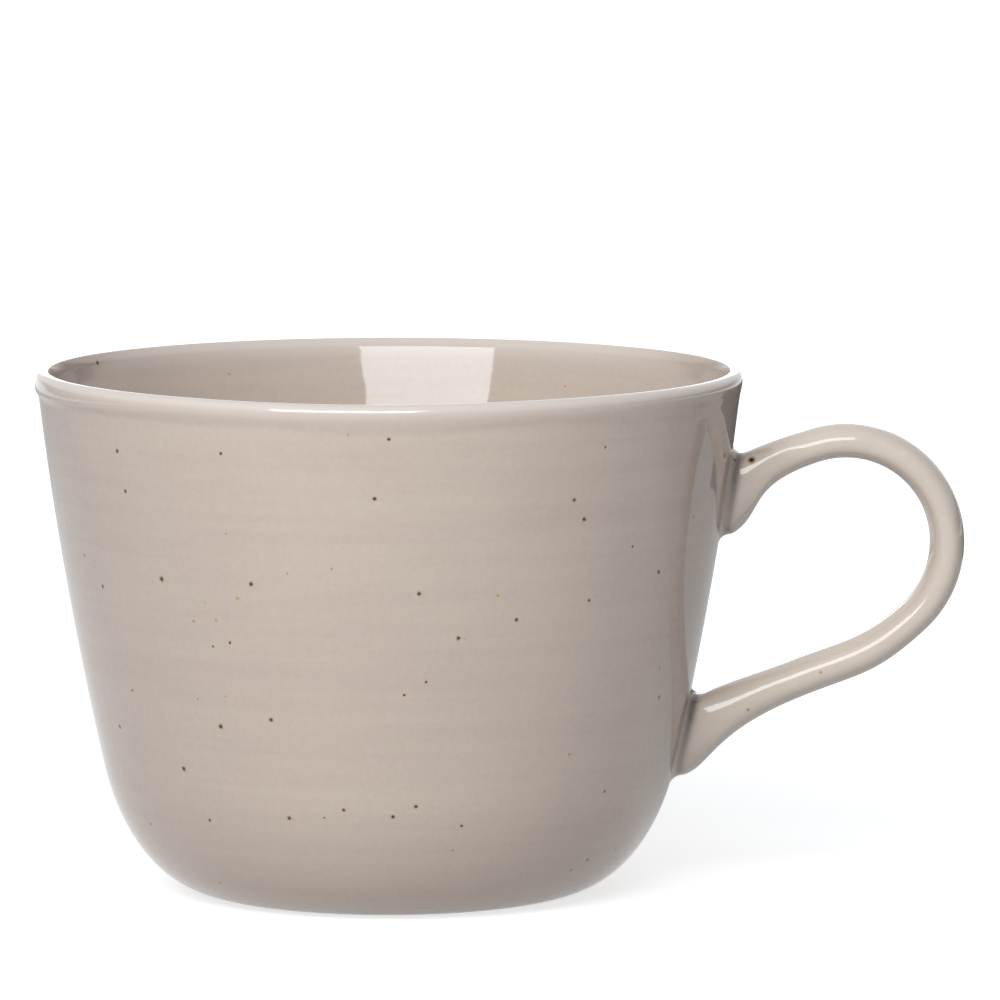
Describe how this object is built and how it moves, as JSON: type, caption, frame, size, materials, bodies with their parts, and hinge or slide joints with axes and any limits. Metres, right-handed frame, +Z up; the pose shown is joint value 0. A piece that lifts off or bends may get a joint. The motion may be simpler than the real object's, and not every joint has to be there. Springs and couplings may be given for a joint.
{
  "type": "tea cup",
  "caption": "Wide glazed stoneware tea cup with a gently bowed wall, rounded heel, low foot ring and a loop handle with flared ends stuck to the wall.",
  "frame": {"origin": "middle of the foot ring, on the plane that the cup rests on", "axes": "+Z up out of the mouth, +X towards the handle, +Y to complete a right-handed frame"},
  "size_m": [0.1445, 0.11, 0.0815],
  "materials": {
    "glazed_stoneware": "glossy greige glaze with small iron specks",
    "glazed_slip": "glossy glaze pooled in the fillet between handle and wall"
  },
  "bodies": {
    "root": {"cup_body": "glazed_stoneware", "handle": "glazed_stoneware", "upper_slip_joint": "glazed_slip", "lower_slip_joint": "glazed_slip"}
  },
  "joints": []
}
